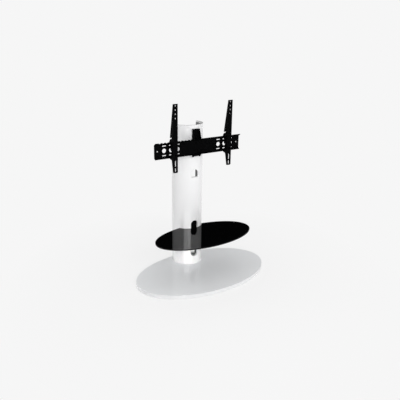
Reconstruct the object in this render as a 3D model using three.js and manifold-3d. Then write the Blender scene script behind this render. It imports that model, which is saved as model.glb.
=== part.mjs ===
// A screen stand: an oval base board, a curved column that is open at the back, an oval glass shelf,
// and a steel wall of brackets that holds a crossbar with two sliding screen arms.
// Millimetres, +Z up, the front faces -Y, and the origin is on the floor at the centre of the base.
import * as THREE from "three";
import { mergeVertices } from "three/addons/utils/BufferGeometryUtils.js";
import Module from "manifold-3d";

const wasm = await Module();
wasm.setup();

// Fits and steps that every piece shares.
const SEAT = 0.3; // gap between two pieces that touch
const HOLE_GAP = 0.5; // radial room of a bolt in its hole
const OVERRUN = 3; // how far a cutter passes the faces that it cuts
const SLOT_STEPS = 4; // steps in a quarter turn of a slot's end
const DISC_STEPS = 6; // steps in a quarter turn of a round hole
const BOLT_SIDES = 12; // sides of a round bolt or spacer
const HEX_SIDES = 6;

// Base board and its pads.
const BASE_LENGTH = 930;
const BASE_DEPTH = 552;
const BASE_THICKNESS = 23.8;
const BASE_EDGE = 2.5; // rounding of the board's edges
const BASE_STEPS = 40; // steps in half of an oval
const PAD_RADIUS = 16;
const PAD_HEIGHT = 6;
const PAD_END_SHARE = 0.83; // the two end pads lie this far out on the long axis
const PAD_SIDE_SHARES = [0.5, 0.66]; // the four others, along and across the board

// Column: a bent sheet of a circular section, open at the back.
const COLUMN_RADIUS = 102;
const COLUMN_WALL = 12;
const COLUMN_INSET = 76.2; // from its axis to the back of the base
const COLUMN_HEIGHT = 964.6;
const COLUMN_HALF_ANGLE = 111; // degrees of wall on each side of the front
const COLUMN_STEPS = 28; // steps in half of the wall's arc
const LINER_STEPS = 8; // the same for a short plate against the wall
const OPENING_STEPS = 8;

// Openings through the column's front, all of one width.
const OPENING_WIDTH = 51;
const LOWER_OPENING_BOTTOM = 58.8; // above the board
const LOWER_OPENING_HEIGHT = 108;
const UPPER_OPENING_DROP = 287.3; // from the column's top to the flat sill's crown
const UPPER_OPENING_HEIGHT = 51.2;
const SHELF_OPENING_RISE = 53.5; // above the glass
const SHELF_OPENING_DROP = 64; // below the glass top

// Foot bracket: a plate with a rolled upstand inside the column.
const FOOT_PLATE = 5;
const FOOT_WALL = 4;
const FOOT_UPSTAND = 26;
const FOOT_HALF_ANGLE = 98;
const FOOT_BOLT_RADIUS = 4;
const FOOT_BOLT_ANGLES = [-112, -45, 45, 112]; // degrees from the front
const FOOT_BOLT_CIRCLE = 66;
const FOOT_BOLT_HEAD_RADIUS = 8;
const FOOT_BOLT_HEAD = 4.5;
const FOOT_BOLT_RECESS = 6;
const FOOT_NUT_ACROSS = 14.4;
const FOOT_NUT_HEIGHT = 6.5;
const FOOT_BOLT_STAND = 3; // thread beyond the nut
const FOOT_SCREW_ANGLES = [-78, -30, 30, 78];
const FOOT_SCREW_HEIGHT = 14; // above the foot plate

// Short screws that go from inside into the column's wall.
const WALL_SCREW_RADIUS = 2.2;
const WALL_SCREW_HEAD_RADIUS = 4.5;
const WALL_SCREW_HEAD = 2.6;
const WALL_SCREW_BITE = 9;

// Glass shelf, on a steel bracket that comes out of the column.
const SHELF_LENGTH = 689.8;
const SHELF_DEPTH = 350.8;
const SHELF_THICKNESS = 8;
const SHELF_HEIGHT = 269.6; // from the board to the top of the glass
const SHELF_REACH = 123.2; // from the column's front to the middle of the glass
const SHELF_EDGE = 1;
const SHELF_COLUMN_GAP = 0.8;
const SHELF_PLATE_HALF_ANGLE = 31;
const SHELF_PLATE_WALL = 4;
const SHELF_PLATE_MARGIN = 10; // how far the plate covers the wall past the opening
const SHELF_SCREW_ANGLE = 23;
const SHELF_SCREW_MARGIN = 22; // from the plate's top and bottom edges
const TONGUE_WIDTH = 40;
const TONGUE_THICKNESS = 5;
const TONGUE_REACH = 154; // from the column's front
const GUSSET_THICKNESS = 6;
const GUSSET_DEPTH = 42;
const GUSSET_TIP = 8;
const SPREADER_LENGTH = 240;
const SPREADER_WIDTH = 44;
const BOSS_RADIUS = 22;
const BOSS_HEIGHT = 5;
const BOSS_THREAD_RADIUS = 3;
const BOSS_SCREW_DEPTH = 3.5;
const BOSS_SCREW_HEAD_RADIUS = 5.5;
const BOSS_SCREW_HEAD = 3.3;
const REAR_BOSS_SHARE = 0.3; // its place along the tongue, from the column

// Mount bracket: an upright channel, open to the front, on round spacers.
const SPACER_RADIUS = 9.5;
const SPACER_LENGTH = 4;
const BRACKET_SHEET = 3;
const BRACKET_WIDTH = 52;
const BRACKET_DEPTH = 31.4;
const BRACKET_TOP_DEPTH = 6;
const BRACKET_DROP = 22.5; // from the column's top to the bracket's top
const BRACKET_HEIGHT = 177.5;
const BRACKET_SLOPE = 69; // height of the sloping front edge
const BRACKET_TOE = 27; // height of the foot below the crossbar
const BRACKET_TOE_SET = 9;
const BRACKET_TOE_ROUND = 12;
const BRACKET_WEB_TRIM = 2; // the web ends above the cheeks' feet
const TAB_WIDTH = 15;
const TAB_MARGIN = 7; // each tab ends inside the crossbar's web
const BACKING_WALL = 4;
const BACKING_HALF_ANGLE = 26;
const BACKING_MARGIN = 24; // beyond the outermost bolts
const MOUNT_BOLT_RADIUS = 4;
const MOUNT_BOLT_PITCH = 55;
const MOUNT_BOLT_COUNT = 3;
const MOUNT_BOLT_HEAD_ACROSS = 14.4;
const MOUNT_BOLT_HEAD = 5.3;
const MOUNT_NUT_HEIGHT = 6.5;
const MOUNT_BOLT_STAND = 3;

// Crossbar: a bent sheet with a hooked lip along its top and a small one below.
const RAIL_LENGTH = 617;
const RAIL_SHEET = 3;
const RAIL_WEB = 77; // height of the flat web
const RAIL_DROP = 128.7; // from the column's top to the web's middle
const LIP_REACH = 16.5;
const LIP_RISE = 12;
const LOWER_LIP_REACH = 10.5;
const LOWER_LIP_FALL = 8;
const RAIL_HOLE_RADIUS = 13.3;
const RAIL_HOLE_PITCH = 47.2;
const RAIL_HOLE_COUNT = 3;
const RAIL_HOLE_START = 147.4; // the innermost hole, from the middle
const RAIL_SLOT_LENGTH = 26;
const RAIL_SLOT_WIDTH = 6;
const RAIL_SLOT_OFFSET = 29.6;
const RAIL_END_HOLE_RADIUS = 3.7;
const RAIL_END_HOLE_INSET = 21;
const LIP_NOTCH_RADIUS = 7;
const LIP_NOTCH_DEPTH = 5;
const LIP_NOTCH_CLEAR = 12; // plain lip left beside the mount bracket
const RAIL_BOLT_RADIUS = 3;
const RAIL_BOLT_HEAD_RADIUS = 5.5;
const RAIL_BOLT_HEAD = 3.3;
const RAIL_BOLT_SPREAD = 44; // between the upper and the lower pair
const RAIL_NUT_ACROSS = 9.8;
const RAIL_NUT_HEIGHT = 5;
const RAIL_BOLT_STAND = 2;

// Screen arms: channels that hang on the crossbar's lip.
const ARM_SPACING = 387; // between the middles of the two arms
const ARM_SHIFT = -4.2; // the pair hangs this far to one side of the stand's middle
const ARM_WIDTH = 32.4;
const ARM_SHEET = 4;
const ARM_STANDOFF = 62.4; // from the arm's face to the crossbar's web
const ARM_ABOVE = 282.2; // above the crossbar's middle
const ARM_BELOW = 129;
const ARM_CORNER = 7; // rounding of the face's lower corners
const ARM_TOP_DEPTH = 3.4;
const ARM_DEPTH = 41; // at the foot of the upper taper
const ARM_TAPER_FOOT = 32; // the taper's foot above the web's top edge
const SLIT_BLIND = 19; // depth that the relief slit leaves uncut
const SLIT_RISE = 5;
const SLIT_END = 4;
const HOOK_SHOULDER = [-6, 21]; // from the lip's tip, in depth and in height
const HOOK_FINGER = 3.4; // how far the finger reaches behind the lip's tip
const HOOK_FINGER_END = 5;
const THROAT_GAP = 1.2;
const NECK_DEPTH = 38;
const NECK_FOOT = 12; // above the crossbar's middle
const VEE_DEPTH = 15.5;
const VEE_DROP = 6; // below the crossbar's middle
const VEE_WIDTH = 12;
const LOBE_CLEAR = 8.5; // the lobe's back stands in front of the crossbar's lower lip
const LOBE_FOOT = 6;
const SHOULDER_DEPTH = 20;
const ARM_FOOT_DEPTH = 3.4;
const ARM_HOLE_WIDTH = 5;
const ARM_HOLE_HEIGHT = 9.6;
const ARM_HOLE_PITCH = 24.4;
const ARM_HOLE_COUNT = 4;
const ARM_HOLE_INSET = 10; // from the top of the arm to the first hole
const ARM_LONG_SLOT_WIDTH = 7;
const ARM_LONG_SLOTS = [
  { bottom: 8, height: 22 },
  { bottom: 39, height: 36 },
];
const BRIDGE_DEPTH = 14; // the cross plate that the clamp screw runs in
const BRIDGE_SHEET = 3;
const BRIDGE_HALF = 10;
const CLAMP_DROP = 20; // the clamp screw below the crossbar's middle
const CLAMP_RADIUS = 3;
const CLAMP_HEAD_RADIUS = 5;
const CLAMP_HEAD = 6;
const CLAMP_HEAD_START = 4.5; // behind the arm's face
const CLAMP_ACCESS_GAP = 1.3;

// Places worked out from the sizes above.
const boardBottom = PAD_HEIGHT + SEAT;
const boardTop = boardBottom + BASE_THICKNESS;
const columnBottom = boardTop + SEAT;
const columnTop = columnBottom + COLUMN_HEIGHT;
const columnAxis = BASE_DEPTH / 2 - COLUMN_INSET;
const columnFront = columnAxis - COLUMN_RADIUS;
const columnInside = COLUMN_RADIUS - COLUMN_WALL;
const linerRadius = columnInside - SEAT; // of what lies against the inside of the wall
const glassTop = boardTop + SHELF_HEIGHT;
const glassMiddleY = columnFront - SHELF_REACH;
const glassBottom = glassTop - SHELF_THICKNESS;
const bossTop = glassBottom - SEAT;
const bossBottom = bossTop - BOSS_HEIGHT;
const tongueTop = bossBottom - SEAT;
const tongueBottom = tongueTop - TONGUE_THICKNESS;
const tongueFront = columnFront - TONGUE_REACH;
const shelfOpeningTop = glassTop + SHELF_OPENING_RISE;
const shelfOpeningBottom = glassTop - SHELF_OPENING_DROP;
const spacerBack = columnFront - SEAT;
const spacerFront = spacerBack - SPACER_LENGTH;
const bracketBack = spacerFront - SEAT;
const bracketFront = bracketBack - BRACKET_DEPTH;
const bracketTop = columnTop - BRACKET_DROP;
const bracketBottom = bracketTop - BRACKET_HEIGHT;
const railBack = bracketFront - SEAT;
const railFace = railBack - RAIL_SHEET;
const railMiddle = columnTop - RAIL_DROP;
const railWebTop = railMiddle + RAIL_WEB / 2;
const railWebBottom = railMiddle - RAIL_WEB / 2;
const lipTip = { y: railFace - LIP_REACH, z: railWebTop + LIP_RISE };
const lowerLipTip = { y: railFace - LOWER_LIP_REACH, z: railWebBottom - LOWER_LIP_FALL };
const armFace = railFace - ARM_STANDOFF;
const armTop = railMiddle + ARM_ABOVE;
const armBottom = railMiddle - ARM_BELOW;

const finish = (color, roughness, metalness) =>
  new THREE.MeshStandardMaterial({ color, roughness, metalness });
const whiteGloss = finish(0xf2f2f2, 0.2, 0);
const blackSteel = finish(0x0d0d0e, 0.45, 0.3);
const blackGlass = finish(0x050506, 0.05, 0);
const zincSteel = finish(0xa7a9ac, 0.35, 1);
const blackRubber = finish(0x161616, 0.9, 0);

const radians = (degrees) => (degrees * Math.PI) / 180;

// Solids and booleans.
function solid(geometry) {
  const bare = geometry.index ? geometry.toNonIndexed() : geometry.clone();
  bare.deleteAttribute("normal");
  bare.deleteAttribute("uv");
  const merged = mergeVertices(bare, 1e-4);
  return new wasm.Manifold(
    new wasm.Mesh({
      numProp: 3,
      vertProperties: new Float32Array(merged.attributes.position.array),
      triVerts: new Uint32Array(merged.index.array),
    }),
  );
}

function geometryOf(body) {
  const mesh = body.getMesh();
  const geometry = new THREE.BufferGeometry();
  const places = new Float32Array(mesh.numVert * 3);
  for (let i = 0; i < mesh.numVert; i++) {
    const start = i * mesh.numProp;
    places.set(mesh.vertProperties.subarray(start, start + 3), i * 3);
  }
  geometry.setAttribute("position", new THREE.BufferAttribute(places, 3));
  geometry.setIndex(new THREE.BufferAttribute(new Uint32Array(mesh.triVerts), 1));
  geometry.computeVertexNormals();
  return geometry;
}

function join(...geometries) {
  return geometryOf(geometries.map(solid).reduce((all, next) => all.add(next)));
}

function cut(geometry, ...cutters) {
  return geometryOf(cutters.map(solid).reduce((body, cutter) => body.subtract(cutter), solid(geometry)));
}

// Outlines, each drawn in the plane that its name gives, and prisms made from them.
const alongX = new THREE.Matrix4().makeBasis(
  new THREE.Vector3(0, 1, 0),
  new THREE.Vector3(0, 0, 1),
  new THREE.Vector3(1, 0, 0),
);
const alongY = new THREE.Matrix4().makeBasis(
  new THREE.Vector3(1, 0, 0),
  new THREE.Vector3(0, 0, 1),
  new THREE.Vector3(0, -1, 0),
);

function prism(shape, depth, steps = SLOT_STEPS) {
  return new THREE.ExtrudeGeometry(shape, { depth, bevelEnabled: false, curveSegments: steps });
}

// A plan outline (x, y), raised from bottom to top.
function prismZ(shape, bottom, top, steps) {
  return prism(shape, top - bottom, steps).translate(0, 0, bottom);
}

// A side outline (y, z), drawn out from left to right.
function prismX(shape, left, right, steps) {
  return prism(shape, right - left, steps).applyMatrix4(alongX).translate(left, 0, 0);
}

// A front outline (x, z), drawn out from front to back.
function prismY(shape, front, back, steps) {
  return prism(shape, back - front, steps).applyMatrix4(alongY).translate(0, back, 0);
}

function block(left, right, front, back, bottom, top) {
  return new THREE.BoxGeometry(right - left, back - front, top - bottom).translate(
    (left + right) / 2,
    (front + back) / 2,
    (bottom + top) / 2,
  );
}

function outline(points) {
  return new THREE.Shape(points.map(([a, b]) => new THREE.Vector2(a, b)));
}

function oval(centreY, length, depth) {
  return new THREE.Shape().absellipse(0, centreY, length / 2, depth / 2, 0, 2 * Math.PI, false, 0);
}

function disc(a, b, radius) {
  return new THREE.Shape().absarc(a, b, radius, 0, 2 * Math.PI, false);
}

// An upright or flat slot with round ends, centred on (a, b).
function slot(a, b, width, height) {
  const shape = new THREE.Shape();
  const radius = Math.min(width, height) / 2;
  const run = Math.max(width, height) / 2 - radius;
  if (height > width) {
    shape.absarc(a, b + run, radius, 0, Math.PI, false);
    shape.absarc(a, b - run, radius, Math.PI, 2 * Math.PI, false);
  } else {
    shape.absarc(a + run, b, radius, -Math.PI / 2, Math.PI / 2, false);
    shape.absarc(a - run, b, radius, Math.PI / 2, (3 * Math.PI) / 2, false);
  }
  return shape;
}

// A band of the column's section, between two radii and as far as an angle on each side.
function band(outer, inner, halfAngle) {
  const start = -Math.PI / 2 - radians(halfAngle);
  const end = -Math.PI / 2 + radians(halfAngle);
  const shape = new THREE.Shape().absarc(0, columnAxis, outer, start, end, false);
  return shape.absarc(0, columnAxis, inner, end, start, true);
}

// A sheet bent along a line of points, its thickness laid on the left of the line's run.
function bentSheet(points, thickness) {
  const line = points.map(([a, b]) => new THREE.Vector2(a, b));
  const sides = line.slice(1).map((point, i) => {
    const run = point.clone().sub(line[i]).normalize();
    return new THREE.Vector2(-run.y, run.x);
  });
  const offset = line.map((point, i) => {
    const before = sides[Math.max(i - 1, 0)];
    const after = sides[Math.min(i, sides.length - 1)];
    const mitre = before.clone().add(after).normalize();
    return point.clone().addScaledVector(mitre, thickness / mitre.dot(after));
  });
  return new THREE.Shape([...line, ...offset.reverse()]);
}

// A rod along +Z from its own origin, and a bolt whose head lies below the origin.
function rod(radius, length, sides = BOLT_SIDES) {
  return new THREE.CylinderGeometry(radius, radius, length, sides)
    .rotateX(Math.PI / 2)
    .translate(0, 0, length / 2);
}

function bolt(headRadius, head, headSides, radius, length) {
  const top = rod(headRadius, head, headSides).translate(0, 0, -head);
  return join(top, rod(radius, head / 2 + length).translate(0, 0, -head / 2));
}

function nut(across, height, bore) {
  const hole = rod(bore, height + 2 * OVERRUN).translate(0, 0, -OVERRUN);
  return cut(rod(across / Math.sqrt(3), height, HEX_SIDES), hole);
}

const stand = new THREE.Group();

function add(parent, name, geometry, material) {
  const mesh = new THREE.Mesh(geometry, material);
  mesh.name = name;
  parent.add(mesh);
  return mesh;
}

// A group on the column's axis, turned so that its own front looks out at an angle from the front.
function radialGroup(angle, height) {
  const group = new THREE.Group();
  group.position.set(0, columnAxis, height);
  group.rotation.z = radians(angle);
  stand.add(group);
  return group;
}

// The places of the foot bolts, on a circle round the column's axis.
const footBoltPlaces = FOOT_BOLT_ANGLES.map((angle) => [
  FOOT_BOLT_CIRCLE * Math.sin(radians(angle)),
  columnAxis - FOOT_BOLT_CIRCLE * Math.cos(radians(angle)),
]);

function addBase() {
  const board = new THREE.ExtrudeGeometry(oval(0, BASE_LENGTH, BASE_DEPTH), {
    depth: BASE_THICKNESS - 2 * BASE_EDGE,
    bevelThickness: BASE_EDGE,
    bevelSize: BASE_EDGE,
    bevelOffset: -BASE_EDGE,
    bevelSegments: 3,
    curveSegments: BASE_STEPS,
  }).translate(0, 0, boardBottom + BASE_EDGE);
  const holes = footBoltPlaces.flatMap(([x, y]) => [
    rod(FOOT_BOLT_RADIUS + HOLE_GAP, BASE_THICKNESS + 2 * OVERRUN).translate(x, y, boardBottom - OVERRUN),
    rod(FOOT_BOLT_HEAD_RADIUS + HOLE_GAP, FOOT_BOLT_RECESS + OVERRUN).translate(x, y, boardBottom - OVERRUN),
  ]);
  add(stand, "base_board", cut(board, ...holes), whiteGloss);

  const [along, across] = PAD_SIDE_SHARES;
  const places = [
    [-PAD_END_SHARE, 0],
    [PAD_END_SHARE, 0],
    [-along, -across],
    [along, -across],
    [-along, across],
    [along, across],
  ];
  places.forEach(([x, y], i) => {
    const pad = add(stand, `base_pad_${i + 1}`, rod(PAD_RADIUS, PAD_HEIGHT), blackRubber);
    pad.position.set((x * BASE_LENGTH) / 2, (y * BASE_DEPTH) / 2, 0);
  });
}

function addFoot() {
  const plateBottom = boardTop + SEAT;
  const plateTop = plateBottom + FOOT_PLATE;
  const plate = prismZ(band(linerRadius, 0, FOOT_HALF_ANGLE), plateBottom, plateTop, COLUMN_STEPS);
  const back = columnAxis + FOOT_BOLT_CIRCLE / 2 + FOOT_BOLT_HEAD_RADIUS;
  const width = Math.sqrt(linerRadius ** 2 - (back - columnAxis) ** 2) - SEAT;
  const tail = block(-width, width, columnAxis, back, plateBottom, plateTop);
  const wall = band(linerRadius, linerRadius - FOOT_WALL, FOOT_HALF_ANGLE);
  const upstand = prismZ(wall, plateBottom, plateTop + FOOT_UPSTAND, COLUMN_STEPS);
  const boltHoles = footBoltPlaces.map(([x, y]) =>
    rod(FOOT_BOLT_RADIUS + HOLE_GAP, FOOT_PLATE + 2 * OVERRUN).translate(x, y, plateBottom - OVERRUN),
  );
  const screwHeight = plateTop + FOOT_SCREW_HEIGHT;
  const screwHoles = FOOT_SCREW_ANGLES.map((angle) => wallHole(angle, screwHeight, linerRadius - FOOT_WALL));
  add(stand, "foot_bracket", cut(join(plate, tail, upstand), ...boltHoles, ...screwHoles), zincSteel);

  const headBottom = boardBottom + FOOT_BOLT_RECESS - SEAT - FOOT_BOLT_HEAD;
  const shank = plateTop + SEAT + FOOT_NUT_HEIGHT + FOOT_BOLT_STAND - headBottom - FOOT_BOLT_HEAD;
  footBoltPlaces.forEach(([x, y], i) => {
    const screw = bolt(FOOT_BOLT_HEAD_RADIUS, FOOT_BOLT_HEAD, BOLT_SIDES, FOOT_BOLT_RADIUS, shank);
    add(stand, `foot_bolt_${i + 1}`, screw, zincSteel).position.set(x, y, headBottom + FOOT_BOLT_HEAD);
    const hex = nut(FOOT_NUT_ACROSS, FOOT_NUT_HEIGHT, FOOT_BOLT_RADIUS + SEAT);
    add(stand, `foot_nut_${i + 1}`, hex, zincSteel).position.set(x, y, plateTop + SEAT);
  });
  FOOT_SCREW_ANGLES.forEach((angle, i) => {
    addWallScrew(`foot_screw_${i + 1}`, angle, screwHeight, linerRadius - FOOT_WALL);
  });
}

// A hole for a wall screw, from inside a liner of the given inner radius into the column's wall.
function wallHole(angle, height, from) {
  const reach = linerRadius - from + WALL_SCREW_BITE + SEAT + OVERRUN;
  return rod(WALL_SCREW_RADIUS + SEAT, reach)
    .rotateX(Math.PI / 2)
    .translate(0, -(from - OVERRUN), 0)
    .rotateZ(radians(angle))
    .translate(0, columnAxis, height);
}

function addWallScrew(name, angle, height, from) {
  const length = linerRadius - from + WALL_SCREW_BITE;
  const screw = bolt(WALL_SCREW_HEAD_RADIUS, WALL_SCREW_HEAD, BOLT_SIDES, WALL_SCREW_RADIUS, length);
  const flat = from * (1 - Math.cos(WALL_SCREW_HEAD_RADIUS / from));
  screw.rotateX(Math.PI / 2).translate(0, -(from - SEAT - flat), 0);
  add(radialGroup(angle, height), name, screw, zincSteel);
}

function addColumn() {
  const wall = prismZ(
    band(COLUMN_RADIUS, columnInside, COLUMN_HALF_ANGLE),
    columnBottom,
    columnTop,
    COLUMN_STEPS,
  );
  const front = columnFront - OVERRUN;
  const back = columnAxis;
  const lowerBottom = boardTop + LOWER_OPENING_BOTTOM;
  const lowerMiddle = lowerBottom + LOWER_OPENING_HEIGHT / 2;
  const shelfMiddle = (shelfOpeningTop + shelfOpeningBottom) / 2;
  const shelfHeight = shelfOpeningTop - shelfOpeningBottom;
  const crown = columnTop - UPPER_OPENING_DROP - OPENING_WIDTH / 2;
  const sill = columnTop - UPPER_OPENING_DROP - UPPER_OPENING_HEIGHT;
  const arch = new THREE.Shape().absarc(0, crown, OPENING_WIDTH / 2, 0, Math.PI, false);
  arch.lineTo(-OPENING_WIDTH / 2, sill);
  arch.lineTo(OPENING_WIDTH / 2, sill);
  const openings = [
    slot(0, lowerMiddle, OPENING_WIDTH, LOWER_OPENING_HEIGHT),
    slot(0, shelfMiddle, OPENING_WIDTH, shelfHeight),
    arch,
  ].map((shape) => prismY(shape, front, back, OPENING_STEPS));

  const footScrewHeight = boardTop + SEAT + FOOT_PLATE + FOOT_SCREW_HEIGHT;
  const holes = FOOT_SCREW_ANGLES.map((angle) => wallHole(angle, footScrewHeight, linerRadius - FOOT_WALL));
  for (const height of shelfScrewHeights) {
    for (const side of [-1, 1]) {
      holes.push(wallHole(side * SHELF_SCREW_ANGLE, height, linerRadius - SHELF_PLATE_WALL));
    }
  }
  for (const height of mountBoltHeights) {
    holes.push(boltHoleY(0, height, MOUNT_BOLT_RADIUS, columnFront, columnAxis - columnInside));
  }
  add(stand, "column", cut(wall, ...openings, ...holes), whiteGloss);
}

// A bolt hole along Y, through everything between two faces.
function boltHoleY(x, z, radius, front, back) {
  return rod(radius + HOLE_GAP, back - front + 2 * OVERRUN)
    .rotateX(-Math.PI / 2)
    .translate(x, front - OVERRUN, z);
}

const shelfPlateTop = shelfOpeningTop + SHELF_PLATE_MARGIN;
const shelfPlateBottom = shelfOpeningBottom - SHELF_PLATE_MARGIN;
const shelfScrewHeights = [shelfPlateBottom + SHELF_SCREW_MARGIN, shelfPlateTop - SHELF_SCREW_MARGIN];
const spreaderMiddle = tongueFront + SPREADER_WIDTH / 2;
const bossPlaces = [
  [-(SPREADER_LENGTH / 2 - BOSS_RADIUS), spreaderMiddle],
  [SPREADER_LENGTH / 2 - BOSS_RADIUS, spreaderMiddle],
  [0, columnFront - TONGUE_REACH * REAR_BOSS_SHARE],
];

function addShelf() {
  const glass = new THREE.ExtrudeGeometry(oval(glassMiddleY, SHELF_LENGTH, SHELF_DEPTH), {
    depth: SHELF_THICKNESS - 2 * SHELF_EDGE,
    bevelThickness: SHELF_EDGE,
    bevelSize: SHELF_EDGE,
    bevelOffset: -SHELF_EDGE,
    bevelSegments: 2,
    curveSegments: BASE_STEPS,
  }).translate(0, 0, glassBottom + SHELF_EDGE);
  const notch = prismZ(
    disc(0, columnAxis, COLUMN_RADIUS + SHELF_COLUMN_GAP),
    glassBottom - OVERRUN,
    glassTop + OVERRUN,
    COLUMN_STEPS,
  );
  add(stand, "shelf_glass", cut(glass, notch), blackGlass);

  const inner = linerRadius - SHELF_PLATE_WALL;
  const plate = prismZ(
    band(linerRadius, inner, SHELF_PLATE_HALF_ANGLE),
    shelfPlateBottom,
    shelfPlateTop,
    LINER_STEPS,
  );
  const plateFace = columnAxis - inner;
  const half = TONGUE_WIDTH / 2;
  const tongue = block(-half, half, tongueFront, plateFace, tongueBottom, tongueTop);
  const spread = SPREADER_LENGTH / 2;
  const spreader = prismZ(
    slot(0, spreaderMiddle, SPREADER_LENGTH, SPREADER_WIDTH),
    tongueBottom,
    tongueTop,
  );
  const side = outline([
    [plateFace, tongueTop],
    [spreaderMiddle, tongueTop],
    [spreaderMiddle, tongueBottom - GUSSET_TIP],
    [plateFace, tongueBottom - GUSSET_DEPTH],
  ]);
  const gusset = prismX(side, -GUSSET_THICKNESS / 2, GUSSET_THICKNESS / 2);
  const gussetRoom = rod(BOSS_SCREW_HEAD_RADIUS + HOLE_GAP, GUSSET_DEPTH).translate(
    bossPlaces[2][0],
    bossPlaces[2][1],
    tongueBottom - GUSSET_DEPTH,
  );
  const screwHole = rod(BOSS_THREAD_RADIUS + HOLE_GAP, TONGUE_THICKNESS + 2 * OVERRUN);
  const screwHoles = bossPlaces.map(([x, y]) => screwHole.clone().translate(x, y, tongueBottom - OVERRUN));
  const wallHoles = shelfScrewHeights.flatMap((height) =>
    [-1, 1].map((sign) => wallHole(sign * SHELF_SCREW_ANGLE, height, inner)),
  );
  const body = join(plate, tongue, spreader, gusset);
  add(stand, "shelf_bracket", cut(body, gussetRoom, ...screwHoles, ...wallHoles), blackSteel);

  bossPlaces.forEach(([x, y], i) => {
    const depth = BOSS_SCREW_DEPTH + SEAT;
    const bore = rod(BOSS_THREAD_RADIUS + SEAT, depth + OVERRUN).translate(0, 0, -OVERRUN);
    const boss = cut(rod(BOSS_RADIUS, BOSS_HEIGHT, 2 * BOLT_SIDES), bore);
    add(stand, `shelf_boss_${i + 1}`, boss, zincSteel).position.set(x, y, bossBottom);
    const length = SEAT + TONGUE_THICKNESS + SEAT + BOSS_SCREW_DEPTH;
    const screw = bolt(BOSS_SCREW_HEAD_RADIUS, BOSS_SCREW_HEAD, BOLT_SIDES, BOSS_THREAD_RADIUS, length);
    add(stand, `shelf_screw_${i + 1}`, screw, zincSteel).position.set(x, y, tongueBottom - SEAT);
  });
  let count = 0;
  for (const height of shelfScrewHeights) {
    for (const sign of [-1, 1]) {
      count += 1;
      addWallScrew(`shelf_wall_screw_${count}`, sign * SHELF_SCREW_ANGLE, height, inner);
    }
  }
}

const mountBoltHeights = Array.from(
  { length: MOUNT_BOLT_COUNT },
  (_, i) => railMiddle + (i - (MOUNT_BOLT_COUNT - 1) / 2) * MOUNT_BOLT_PITCH,
);
const tabMiddle = BRACKET_WIDTH / 2 - BRACKET_SHEET - HOLE_GAP - RAIL_NUT_ACROSS / Math.sqrt(3);
const railBoltPlaces = [-1, 1].flatMap((across) =>
  [-1, 1].map((up) => [across * tabMiddle, railMiddle + (up * RAIL_BOLT_SPREAD) / 2]),
);

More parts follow.
